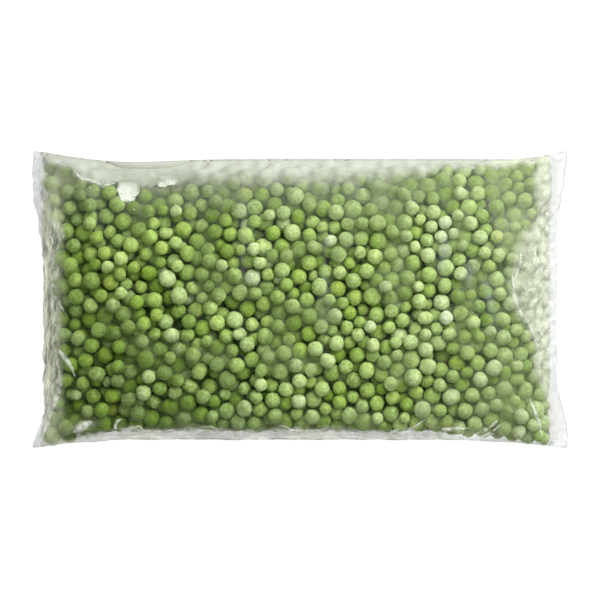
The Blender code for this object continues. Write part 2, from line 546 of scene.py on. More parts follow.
def push_apart(centres, radii, first, second):
    """Moves each two peas that overlap away from each other."""
    between = centres[second] - centres[first]
    apart = np.maximum(np.linalg.norm(between, axis=1), 1e-6)
    overlap = radii[first] + radii[second] - apart
    tight = overlap > 0.0
    move = between[tight] * (SETTLE_PACE * overlap[tight] / apart[tight])[:, None]
    moved = centres.copy()
    for axis in range(3):
        moved[:, axis] -= np.bincount(first[tight], move[:, axis], len(centres))
        moved[:, axis] += np.bincount(second[tight], move[:, axis], len(centres))
    return moved


# The shapes of a pea

def round_pea(name, squash):
    """A cube rounded into a ball a metre across, and squashed along Z."""
    pea = added(name, bpy.ops.mesh.primitive_cube_add, size=1.0)
    with edit_mode():
        bpy.ops.mesh.subdivide(number_cuts=2)
        bpy.ops.transform.tosphere(value=1.0)
    across = 2.0 * pea.data.vertices[0].co.length
    pea.scale = (1.0 / across, 1.0 / across, squash / across)
    finish_mesh(pea)
    return pea


def dent(pea, way, depth, width):
    """Presses the skin in at the side that faces way."""
    way = Vector(way).normalized()
    nearest = max(pea.data.vertices, key=lambda vertex: vertex.co.dot(way)).index
    activate(pea)
    bpy.ops.object.mode_set(mode="EDIT")
    bpy.ops.mesh.select_all(action="DESELECT")
    bpy.ops.object.mode_set(mode="OBJECT")
    pea.data.vertices[nearest].select = True
    bpy.ops.object.mode_set(mode="EDIT")
    bpy.ops.mesh.select_mode(type="VERT")
    bpy.ops.transform.translate(
        value=-depth * way,
        use_proportional_edit=True,
        proportional_edit_falloff="SMOOTH",
        proportional_size=width,
    )
    bpy.ops.object.mode_set(mode="OBJECT")


def pucker(pea, amount, seed):
    """Draws the whole skin in and out a little."""
    activate(pea)
    with edit_mode():
        bpy.ops.transform.vertex_random(offset=amount, uniform=0.15, normal=0.85, seed=seed)


# The shapes of each kind of pea: how flat each one is, how far the skin is drawn in and out, the
# first seed of that, and the dents. A dent gives its shape, the way it faces, its depth and its width.
PEA_SHAPES = {
    "plump": ((1.0, 0.95, 0.90, 0.98), 0.012, 1, (
        (1, (0.3, 0.2, 1.0), 0.05, 0.35),
    )),
    "wrinkled": ((0.92, 0.97, 0.88, 1.0, 0.94), 0.030, 11, (
        (0, (0.0, 0.0, 1.0), 0.13, 0.34),
        (0, (1.0, 0.2, -0.4), 0.07, 0.40),
        (1, (0.9, 0.1, 0.5), 0.12, 0.36),
        (1, (-0.5, 0.8, -0.2), 0.08, 0.33),
        (2, (0.2, -1.0, 0.3), 0.11, 0.45),
        (3, (-0.8, -0.3, 0.6), 0.10, 0.50),
        (3, (0.4, 0.9, 0.3), 0.09, 0.35),
        (4, (0.1, 0.3, -1.0), 0.15, 0.32),
    )),
    "pale": ((0.97, 1.0, 0.92), 0.018, 41, (
        (0, (0.5, -0.3, 0.8), 0.07, 0.40),
    )),
    "yellow": ((0.94, 0.99), 0.020, 51, (
        (1, (-0.2, 0.6, 0.7), 0.08, 0.38),
    )),
    "frosted": ((0.98, 0.93), 0.024, 21, ()),
    "young": ((1.0, 0.93), 0.010, 31, ()),
}


def pea_shapes(kind):
    squashes, amount, seed, dents = PEA_SHAPES[kind]
    shapes = [round_pea(f"{kind}_shape_{index}", squash) for index, squash in enumerate(squashes)]
    for index, pea in enumerate(shapes):
        pucker(pea, amount, index + seed)
    for index, way, depth, width in dents:
        dent(shapes[index], way, depth, width)
    return shapes


# Scattering the shapes

@functools.lru_cache
def scatter_tree():
    """Puts one of a collection's shapes on each point, turned and sized by the point's attributes."""
    taken = {"Points": "Geometry", "Shapes": "Collection"}
    tree, taken, given = new_group("scatter_shapes", "Geometry", taken, {"Scattered": "Geometry"})
    collection = {"Collection": taken["Shapes"], "Separate Children": True, "Reset Children": True}
    shapes = add_node(tree, "GeometryNodeCollectionInfo", collection)
    turn = named_attribute(tree, "turn", "FLOAT_VECTOR")
    copies = add_node(tree, "GeometryNodeInstanceOnPoints", {
        "Points": taken["Points"],
        "Instance": shapes.outputs["Instances"],
        "Pick Instance": True,
        "Instance Index": named_attribute(tree, "shape", "INT"),
        "Rotation": add_node(tree, "FunctionNodeEulerToRotation", {"Euler": turn}).outputs["Rotation"],
        "Scale": named_attribute(tree, "size", "FLOAT_VECTOR"),
    })
    real = add_node(tree, "GeometryNodeRealizeInstances", {"Geometry": copies.outputs["Instances"]})
    tree.links.new(real.outputs["Geometry"], given["Scattered"])
    return tree


def named_attribute(tree, name, kind):
    node = add_node(tree, "GeometryNodeInputNamedAttribute", {"Name": name}, data_type=kind)
    return node.outputs["Attribute"]


def scatter(name, shapes, places, sizes, chance, marks):
    """One mesh of shapes at the given places. marks are numbers from 0 to 1 for the material."""
    count = len(places)
    across = 2.0 * max(vertex.co.length for shape in shapes for vertex in shape.data.vertices)
    points = bpy.data.meshes.new(name)
    points.vertices.add(count)
    points.vertices.foreach_set("co", np.ravel(places))
    for label, kind, values in (
        ("shape", "INT", chance.integers(0, len(shapes), count)),
        ("turn", "FLOAT_VECTOR", chance.uniform(0.0, 2.0 * math.pi, (count, 3))),
        ("size", "FLOAT_VECTOR", np.repeat(sizes / across, 3) * chance.uniform(0.94, 1.0, 3 * count)),
        *((label, "FLOAT", values) for label, values in marks.items()),
    ):
        attribute = points.attributes.new(label, kind, "POINT")
        field = "vector" if kind == "FLOAT_VECTOR" else "value"
        attribute.data.foreach_set(field, np.ravel(values))
    piece = bpy.data.objects.new(name, points)
    bpy.context.scene.collection.objects.link(piece)
    shelf = bpy.data.collections.new(name + "_shapes")
    for shape in shapes:
        shelf.objects.link(shape)
    activate(piece)
    tree = scatter_tree()
    scattering = piece.modifiers.new("scatter", "NODES")
    scattering.node_group = tree
    socket = next(item for item in tree.interface.items_tree if item.name == "Shapes")
    scattering[socket.identifier] = shelf
    bpy.ops.object.modifier_apply(modifier=scattering.name)
    for shape in shapes:
        bpy.data.objects.remove(shape)
    bpy.data.collections.remove(shelf)
    for label in ("shape", "turn", "size"):
        spent = piece.data.attributes.get(label)
        if spent is not None:
            piece.data.attributes.remove(spent)
    deselect_all()
    return piece


# The film's shape

def cad_points():
    return np.unique(corner_places(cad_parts[BAG].data).round(6), axis=0).astype(float)


def rim(out, sign, near):
    """The bag's outermost points towards one side, in order along it, as plain columns."""
    points = cad_points()
    along = 1 - out
    reach = points[:, out] * sign
    order = np.argsort(points[:, along])
    points, reach = points[order], reach[order]
    first = np.searchsorted(points[:, along], points[:, along] - near)
    last = np.searchsorted(points[:, along], points[:, along] + near)
    tops = [reach[a:b].max() for a, b in zip(first, last)]
    edge = points[reach >= np.array(tops) - 1e-5]
    places = np.unique(edge[:, along].round(4))
    return np.array([edge[np.abs(edge[:, along] - place) < 1e-4].mean(axis=0) for place in places])


def even_out(line):
    """The same line with its points at even distances along it."""
    steps = np.linalg.norm(np.diff(line, axis=0), axis=1)
    run = np.concatenate(([0.0], np.cumsum(steps)))
    even = np.linspace(0.0, run[-1], len(line))
    return np.stack([np.interp(even, run, line[:, axis]) for axis in range(3)], axis=1)


def draped_grid(steps_along, steps_across):
    """The lower and the upper film as two grids of points on the bag's surface."""
    tree = bag_tree()
    near, far = rim(1, -1.0, RIM_REACH), rim(1, 1.0, RIM_REACH)
    ends = {-1.0: rim(0, -1.0, RIM_REACH / 2), 1.0: rim(0, 1.0, RIM_REACH / 2)}
    film = np.empty((2, steps_along + 1, steps_across + 1, 3))
    for j, v in enumerate(np.linspace(-1.0, 1.0, steps_across + 1)):
        y = v * HIGH.y
        for i, u in enumerate(np.linspace(-1.0, 1.0, steps_along + 1)):
            end = ends[-1.0 if u < 0.0 else 1.0]
            x = abs(u) * np.interp(y, end[:, 1], end[:, 0])
            sides = [np.interp(x, side[:, 0], side[:, 1]) for side in (near, far)]
            place = sides[0] + (sides[1] - sides[0]) * (v + 1.0) / 2.0
            for face, way in enumerate((1.0, -1.0)):
                start = Vector((x * ON_SURFACE, place * ON_SURFACE, -way))
                hit = tree.ray_cast(start, Vector((0.0, 0.0, way)))[0]
                film[face, i, j] = (x, place, hit.z if hit else SEAL_HEIGHT)
    for j in range(1, steps_across):
        for i, amount in ((0, RAGGED["left"]), (-1, RAGGED["right"])):
            place = Vector((i * 3.0, film[0, i, j, 1] / RAGGED_SIZE, 0.0))
            film[:, i, j, 0] += amount * noise.fractal(place, 0.4, 2.2, 3)
    for face in range(2):
        for step, line in ((0, near), (-1, far)):
            film[face, :, step, 2] = np.interp(film[face, :, step, 0], line[:, 0], line[:, 2])
        for step, line in ((0, ends[-1.0]), (-1, ends[1.0])):
            film[face, step, :, 2] = np.interp(film[face, step, :, 1], line[:, 1], line[:, 2])
    for _ in range(2):
        for face in range(2):
            for i in range(1, steps_along):
                film[face, i] = even_out(film[face, i])
            for j in range(steps_across + 1):
                film[face, :, j] = even_out(film[face, :, j])
    return film


def hold_length(film, ways, first, rest, push):
    """Brings each two neighbours back to their distance on the flat film.

    ways are the grid steps from one to the other, and first picks every second pair.
    push is how firmly they keep apart, beside how firmly they hold together.
    """
    along, across = ways
    if along:
        one = film[:, first:-1:2]
        two = film[:, first + 1::2]
        flat = rest[:, first::2]
        if across > 0:
            one, two = one[:, :, :-1], two[:, :, 1:]
        elif across < 0:
            one, two = one[:, :, 1:], two[:, :, :-1]
    else:
        one = film[:, :, first:-1:2]
        two = film[:, :, first + 1::2]
        flat = rest[:, :, first::2]
    between = two - one
    length = lengths(between)
    extra = (length - flat) / length
    share = 0.5 * np.where(extra > 0.0, extra, push * extra)
    between *= share[..., None]
    one += between
    two -= between


def near_peas(film, centres, radii):
    """The few peas nearest to each point of the film."""
    tree = point_tree(centres)
    points = film.reshape(-1, 3)
    nearest = np.array([[found[1] for found in tree.find_n(point, PEAS_FELT)] for point in points])
    nearest = nearest.reshape(*film.shape[:-1], PEAS_FELT)
    return centres[nearest].astype(np.float32), radii[nearest].astype(np.float32)


def clear_of_peas(film, centres, radii):
    """Moves points of the film that lie in a pea out to its skin."""
    for index in range(PEAS_FELT):
        away = film - centres[..., index, :]
        distance = lengths(away)
        wanting = np.maximum(radii[..., index] + FILM_GAP / 2 - distance, 0.0) / distance
        film += away * wanting[..., None]


def normals_of(film):
    along = np.gradient(film, axis=1)
    across = np.gradient(film, axis=2)
    normals = np.cross(along, across)
    normals[0] *= -1.0
    return normals / (np.linalg.norm(normals, axis=-1, keepdims=True) + 1e-12)


def relax(film, along, across, peas, rounds):
    """Lets the film pull, push and fold until it has its flat lengths and lies over the peas."""
    film = np.ascontiguousarray(film, np.float32)
    start = film.copy()
    slant = np.sqrt(along[:, :, 1:] ** 2 + across[:, 1:] ** 2)
    seal = max(2, round(SEAL / float(along.mean())))
    for turn in range(rounds):
        if turn % FEEL_ROUNDS == 0:
            centres, radii = near_peas(film, *peas)
        if turn % CLING_ROUNDS == 0:
            inwards = -CLING * normals_of(film)
        film += inwards
        for first in (0, 1):
            hold_length(film, (1, 0), first, along, 1.0)
            hold_length(film, (0, 1), first, across, 1.0)
            hold_length(film, (1, 1), first, slant, SHEAR_PUSH)
            hold_length(film, (1, -1), first, slant, SHEAR_PUSH)
        middle = film[:, 1:-1, 1:-1]
        around = film[:, 2:, 1:-1] + film[:, :-2, 1:-1] + film[:, 1:-1, 2:] + film[:, 1:-1, :-2]
        middle += STIFFNESS * (around / 4.0 - middle)
        clear_of_peas(film, centres, radii)
        film[..., 2] = np.maximum(film[..., 2], 0.0)
        weld(film, seal)
        off = film - start
        film[:] = start + off * np.minimum(1.0, MOST_MOVE / lengths(off))[..., None]
        film[:, 0], film[:, -1] = start[:, 0], start[:, -1]
        film[:, :, (0, -1), 1] = start[:, :, (0, -1), 1]
    return film


def weld(film, seal):
    """Holds the two faces together in the seals at the ends, and along the folds at the sides."""
    for part in (film[:, :seal + 1], film[:, -seal - 1:]):
        middle = (part[0] + part[1]) / 2.0
        part[0] = middle - (0.0, 0.0, SEAL_THICKNESS / 2)
        part[1] = middle + (0.0, 0.0, SEAL_THICKNESS / 2)
    for column in (0, -1):
        film[:, :, column] = film[:, :, column].mean(axis=0)


def refined(values, axes):
    """The grid with a value added between each two neighbours along the axes."""
    for axis in axes:
        values = np.moveaxis(values, axis, 0)
        fine = np.repeat(values, 2, axis=0)[:-1]
        fine[1::2] = (values[:-1] + values[1:]) / 2.0
        values = np.moveaxis(fine, 0, axis)
    return values


def flat_lengths(film, crumple):
    """The distance between neighbours on the flat film, along and across, with its slack."""
    slack = bpy.context.scene.pea_bag_film.slack
    kinds = ((1, LENGTH_FLAT, SLACK_ALONG), (2, WIDTH_FLAT, SLACK_ACROSS))
    flat = []
    for axis, whole, shares in kinds:
        length = np.linalg.norm(np.diff(film, axis=axis), axis=-1)
        length = np.maximum(length, whole / length.shape[axis])
        loose = SLACK_ALL
        for side, share in shares.items():
            loose = loose + share * crumple[side]
        length *= 1.0 + slack * np.delete(loose, 0, axis)
        flat.append(length.astype(np.float32))
    return flat


def crumpled(film):
    """Shares from 0 to 1 of how much each point lies in the crumpled film at each side."""
    x, y = film[..., 0], film[..., 1]
    return {
        "left": ramp(-side_of(LEFT_LINE, x, y), -0.004, 0.003) * ramp(x - LOW.x, 0.002, 0.006),
        "right": ramp(side_of(RIGHT_LINE, x, y), -0.004, 0.004) * ramp(HIGH.x - x, 0.004, 0.010),
        "near": ramp(line_y(NEAR_LINE, x) - y, -0.003, 0.003)
        * ramp(np.abs(x), 0.158, 0.150),
    }


def seeded(film, crumple):
    """Starts the folds: fine waves across the slack film, which then grow into pleats."""
    height = np.zeros(film.shape[:-1])
    for side, (along, across) in SEED_SIZE.items():
        for index in zip(*np.nonzero(crumple[side] > 0.01)):
            x, y, _ = film[index]
            wave = noise.noise(Vector((x / along, y / across, index[0] * 7.0)))
            height[index] += SEED_HEIGHT * crumple[side][index] * wave
    return (film + normals_of(film) * height[..., None]).astype(np.float32)


@functools.lru_cache
def film_grid():
    """The film's two faces as grids of points, laid over the peas and crumpled where it is slack."""
    steps_along = 2 * round((HIGH.x - LOW.x) / FILM_STEP / 2)
    steps_across = 2 * round((HIGH.y - LOW.y) / FILM_STEP / 2)
    film = draped_grid(steps_along // COARSE, steps_across // COARSE)
    crumple = crumpled(film)
    along, across = flat_lengths(film, crumple)
    peas = heap()[:2]
    film = relax(seeded(film, crumple), along, across, peas, COARSE_ROUNDS)
    along = refined(np.repeat(along, 2, axis=1), (2,)) / 2.0
    across = refined(np.repeat(across, 2, axis=2), (1,)) / 2.0
    film = refined(film, (1, 2))
    return relax(film, along, across, peas, FINE_ROUNDS)


def film_mesh(name, film, marks):
    """A flat grid drawn out into two faces, with every corner moved to its point of the film."""
    steps_along, steps_across = film.shape[1] - 1, film.shape[2] - 1
    grid_add = bpy.ops.mesh.primitive_grid_add
    piece = added(name, grid_add, x_subdivisions=steps_along, y_subdivisions=steps_across, size=1.0)
    with edit_mode():
        bpy.ops.mesh.extrude_region_move(TRANSFORM_OT_translate={"value": (0.0, 0.0, 1.0)})
    mesh = piece.data
    flat = corner_places(mesh)
    i = np.rint((flat[:, 0] + 0.5) * steps_along).astype(int)
    j = np.rint((flat[:, 1] + 0.5) * steps_across).astype(int)
    face = (flat[:, 2] > 0.5).astype(int)
    mesh.vertices.foreach_set("co", film[face, i, j].astype(np.float32).ravel())
    mesh.update()
    give_marks(mesh, {label: values[face, i, j] for label, values in marks.items()})
    activate(piece)
    with edit_mode():
        bpy.ops.mesh.remove_doubles(threshold=1e-5)
        bpy.ops.mesh.normals_make_consistent(inside=False)
    finish_mesh(piece)
    return piece


# Materials

def new_material(name):
    material = bpy.data.materials.new(name)
    material.use_nodes = True
    return material, material.node_tree, material.node_tree.nodes["Principled BSDF"]


def new_group(name, kind, taken, given):
    """A node group, with what it takes in and what it gives out. Each gives the kinds of its sockets."""
    group = bpy.data.node_groups.new(name, kind + "NodeTree")
    for in_out, sockets in (("INPUT", taken), ("OUTPUT", given)):
        for label, socket in sockets.items():
            group.interface.new_socket(label, in_out=in_out, socket_type="NodeSocket" + socket)
    return group, group.nodes.new("NodeGroupInput").outputs, group.nodes.new("NodeGroupOutput").inputs


def feed(tree, node, inputs):
    """Links each input of a node to its value if that is a socket, or else sets it."""
    for name, value in inputs.items():
        if isinstance(value, bpy.types.NodeSocket):
            tree.links.new(value, node.inputs[name])
        else:
            node.inputs[name].default_value = value


def add_node(tree, kind, inputs, **fields):
    node = tree.nodes.new(kind)
    for name, value in fields.items():
        setattr(node, name, value)
    feed(tree, node, inputs)
    return node


def math_node(tree, operation, *values):
    return add_node(tree, "ShaderNodeMath", dict(enumerate(values)), operation=operation).outputs[0]


def vector_node(tree, operation, inputs):
    return add_node(tree, "ShaderNodeVectorMath", inputs, operation=operation).outputs["Vector"]


def colour_mix(tree, share, first, second):
    return add_node(tree, "ShaderNodeMix", {0: share, 6: first, 7: second}, data_type="RGBA").outputs[2]


def shader_mix(tree, share, first, second):
    return add_node(tree, "ShaderNodeMixShader", {0: share, 1: first, 2: second}).outputs["Shader"]


def object_place(tree):
    return tree.nodes.new("ShaderNodeTexCoord").outputs["Object"]


def mark(tree, name, output="Fac"):
    return add_node(tree, "ShaderNodeAttribute", {}, attribute_name=name).outputs[output]


def noise_node(tree, place, scale, detail, roughness=0.5):
    inputs = {"Vector": place, "Scale": scale, "Detail": detail, "Roughness": roughness}
    return add_node(tree, "ShaderNodeTexNoise", inputs).outputs["Fac"]


def range_node(tree, value, low, high, to_low=0.0, to_high=1.0):
    inputs = {"Value": value, "From Min": low, "From Max": high, "To Min": to_low, "To Max": to_high}
    return add_node(tree, "ShaderNodeMapRange", inputs).outputs["Result"]


def line_at(tree, value, middle, width):
    """1 where value is at its middle, falling to 0 at width to both sides."""
    off = math_node(tree, "ABSOLUTE", math_node(tree, "SUBTRACT", value, middle))
    return range_node(tree, off, 0.0, width, 1.0, 0.0)


def bump_node(tree, height, strength, distance):
    inputs = {"Height": height, "Strength": strength, "Distance": distance}
    return add_node(tree, "ShaderNodeBump", inputs).outputs["Normal"]


def set_surface(tree, shader):
    out = next(node for node in tree.nodes if node.type == "OUTPUT_MATERIAL")
    tree.links.new(shader, out.inputs["Surface"])


def srgb(red, painted_shade_green, blue):
    """A colour given in display values from 0 to 255, as the shader reads it."""
    return tuple(
        c / 12.92 if c <= 0.04045 else ((c + 0.055) / 1.055) ** 2.4
        for c in (red / 255, painted_shade_green / 255, blue / 255)
    ) + (1.0,)


RIME_COLOUR = srgb(226, 234, 214)


def put_piece(piece, material):
    piece.data.materials.clear()
    piece.data.materials.append(material)
    place_piece(piece)


@functools.lru_cache
def skin_group():
    """A pea's skin: its green, with the painted light, shade and sheen that its marks carry, mottled and
    paler where it is frosted, and its fine relief.
    """
    taken = {"Deep": "Color", "Middle": "Color", "Pale": "Color", "Frost": "Float"}
    given = {"Color": "Color", "Roughness": "Float", "Height": "Float"}
    group, taken, given = new_group("pea_skin", "Shader", taken, given)
    place = object_place(group)
    patches = noise_node(group, place, 420.0, 3.0, 0.70)
    grains = noise_node(group, place, 1500.0, 2.0)
    wrinkles = line_at(group, noise_node(group, place, 330.0, 1.0), 0.50, 0.035)

    # The pea's green, from deep to pale by its tint with painted light and shade, and the frost bloom with
    # painted sheen of what touches the film
    tint_and_painted_light = mark(group, "tint_and_painted_light")
    green_with_painted_light = colour_mix(group, range_node(group, tint_and_painted_light, 0.0, 0.5), taken["Deep"], taken["Middle"])
    green_with_painted_light = colour_mix(group, range_node(group, tint_and_painted_light, 0.5, 1.0), green_with_painted_light, taken["Pale"])
    green_with_painted_light = colour_mix(group, mark(group, "bloom_and_sheen"), green_with_painted_light, BLOOM_AND_SHEEN_COLOUR)

    # Mottling, and rime that gathers in patches
    mottle = range_node(group, patches, 0.35, 0.68, 0.76, 1.20)
    speckle = range_node(group, grains, 0.35, 0.65, 0.88, 1.12)
    mottle = math_node(group, "MULTIPLY", mottle, speckle)
    mottled = vector_node(group, "SCALE", {0: green_with_painted_light, "Scale": mottle})
    share = math_node(group, "MULTIPLY", range_node(group, patches, 0.36, 0.90), mark(group, "rime"))
    share = math_node(group, "MULTIPLY", share, taken["Frost"])
    colour = colour_mix(group, share, mottled, RIME_COLOUR)

    rough = range_node(group, patches, 0.0, 1.0, 0.60, 0.85)
    relief = math_node(group, "ADD", math_node(group, "MULTIPLY", grains, 0.45), patches)
    relief = math_node(group, "MULTIPLY_ADD", wrinkles, -0.30, relief)
    for name, value in zip(("Color", "Roughness", "Height"), (colour, rough, relief)):
        group.links.new(value, given[name])
    return group


def pea_material(name, deep, middle, pale, frost):
    material, tree, shader = new_material(name)
    greens = {"Deep": srgb(*deep), "Middle": srgb(*middle), "Pale": srgb(*pale), "Frost": frost}
    skin = add_node(tree, "ShaderNodeGroup", greens, node_tree=skin_group())
    feed(tree, shader, {
        "Base Color": skin.outputs["Color"],
        "Roughness": skin.outputs["Roughness"],
        "Normal": bump_node(tree, skin.outputs["Height"], 0.5, 0.0008),
        "Specular IOR Level": 0.12,
        "Subsurface Weight": 0.25,
        "Subsurface Radius": (0.8, 1.0, 0.3),
        "Subsurface Scale": 0.0012,
    })
    return material


# Each kind of pea: its deep, middle and pale green, and how much rime it takes
PEA_KINDS = {
    "plump": ((114, 146, 44), (144, 174, 72), (172, 196, 106), 0.50),
    "wrinkled": ((116, 143, 46), (148, 174, 76), (178, 199, 114), 0.65),
    "pale": ((150, 176, 96), (168, 191, 118), (186, 205, 144), 0.60),
    "yellow": ((136, 158, 54), (160, 182, 80), (184, 201, 110), 0.45),
    "frosted": ((150, 173, 108), (178, 197, 142), (204, 215, 176), 1.0),
    "young": ((100, 131, 28), (119, 151, 42), (138, 168, 58), 0.25),
}
TINT_MEAN, TINT_SPREAD = 0.46, 0.18  # how pale the peas are, between their deep and pale green


def pea_tones():
    """How much each pea is painted paler or darker than its kind from where it lies, and its frost bloom
    with painted sheen.
    """
    centres, radii, _ = heap()
    x, y = centres[:, 0], centres[:, 1]
    touching = ramp(depth_field().at(centres) - radii, 0.0050, 0.0005)
    # Painted shade: the peas grow darker towards the near left, in both corners at the left end and in the
    # far right corner
    near_left_shade = ramp(x + 0.7 * y, -0.02, -0.14)
    left_corners_shade = 1.15 * ramp(x + 2.2 * y, -0.10, -0.22)
    left_corners_shade += 1.6 * ramp(-x, 0.128, 0.145) * ramp(y, 0.050, 0.070)
    far_right_shade = ramp(x, 0.100, 0.130) * ramp(y, 0.048, 0.068)
    # Painted light on the peas that touch the film, which are paler, beside the painted shade
    painted_light_and_shade = 0.20 * touching - 0.22 * near_left_shade - 0.30 * left_corners_shade - 0.25 * far_right_shade
    # Frost bloom with painted sheen on the peas that touch the film, stronger towards the right, where the
    # light falls, and weaker in the far right corner
    bloom_and_sheen = touching * (0.01 + 0.14 * ramp(x, -0.12, 0.02))
    bloom_and_sheen += touching * 0.03 * ramp(x, 0.02, 0.12)
    return painted_light_and_shade, bloom_and_sheen * (1.0 - 0.8 * far_right_shade)


class PEABAG_OT_fill(bpy.types.Operator):
    """Fills the bag with peas of each kind, one mesh for each"""

    bl_idname = "pea_bag.fill"
    bl_label = "Fill With Peas"

    def execute(self, context):
        sizes = context.scene.pea_bag_peas
        centres, radii, young = heap()
        chance = np.random.default_rng(sizes.seed + 1)
        shares = (sizes.wrinkled, sizes.pale, sizes.yellow, sizes.frosted)
        painted_light_and_shade, bloom_and_sheen = pea_tones()
        draw = chance.random(len(centres))
        kinds = (np.searchsorted(np.cumsum(shares), draw) + 1) % (len(shares) + 1)
        kinds[young] = len(shares) + 1
        for index, (kind, looks) in enumerate(PEA_KINDS.items()):
            name = f"{kind}_peas"
            mine = kinds == index
            # Each pea's tint: a random tone of its own, plus the painted light and shade of where it lies
            tint_and_painted_light = chance.normal(TINT_MEAN, TINT_SPREAD, mine.sum()) + painted_light_and_shade[mine]
            marks = {
                "tint_and_painted_light": np.clip(tint_and_painted_light, 0.0, 1.0),
                "rime": chance.random(mine.sum()) ** 1.5,
                "bloom_and_sheen": bloom_and_sheen[mine] * chance.uniform(0.5, 1.4, mine.sum()),
            }
            piece = scatter(name, pea_shapes(kind), centres[mine], 2.0 * radii[mine], chance, marks)
            put_piece(piece, pea_material(name, *looks))
        return {"FINISHED"}


class PEABAG_OT_core(bpy.types.Operator):
    """Makes the thin core deep among the peas, the same shape as the bag and smaller, painted dark green as
    their shade
    """

    bl_idname = "pea_bag.core"
    bl_label = "Make Core"

    def execute(self, context):
        ends, sides = CORE_INSET
        film = film_grid()[:, ends:-ends:2, sides:-sides:2]
        middle = film.mean(axis=0)
        core = film_mesh("heap_core", middle + CORE_SHARE * (film - middle), {})
        roughen(core, "VORONOI", CORE_LUMPS, CORE_ROUGH)
        material, tree, shader = new_material("heap_core")
        # Painted shade: a dark green, darker still towards the edges of its lumps, standing for the deep
        # peas in the shadow of those above
        lumps = add_node(tree, "ShaderNodeTexVoronoi", {"Vector": object_place(tree), "Scale": 130.0})
        painted_shade_green = colour_mix(tree, lumps.outputs["Distance"], srgb(104, 134, 46), srgb(48, 68, 18))
        feed(tree, shader, {"Base Color": painted_shade_green, "Roughness": 0.8})
        put_piece(core, material)
        return {"FINISHED"}


def give_marks(mesh, marks):
    for label, values in marks.items():
        values = np.asarray(values)
        if values.ndim > 1:
            values = np.concatenate((values, np.ones((len(values), 1))), axis=1)
            mesh.attributes.new(label, "FLOAT_COLOR", "POINT").data.foreach_set("color", values.ravel())
        else:
            mesh.attributes.new(label, "FLOAT", "POINT").data.foreach_set("value", values)


def clouds(film, size, seed):
    """Smooth noise from about -0.5 to 0.5 at each point, with rises about as wide as size."""
    shift = Vector((0.0, 0.0, seed))
    values = [noise.noise(Vector(place) / size + shift) for place in film.reshape(-1, 3).tolist()]
    return np.reshape(values, film.shape[:-1])


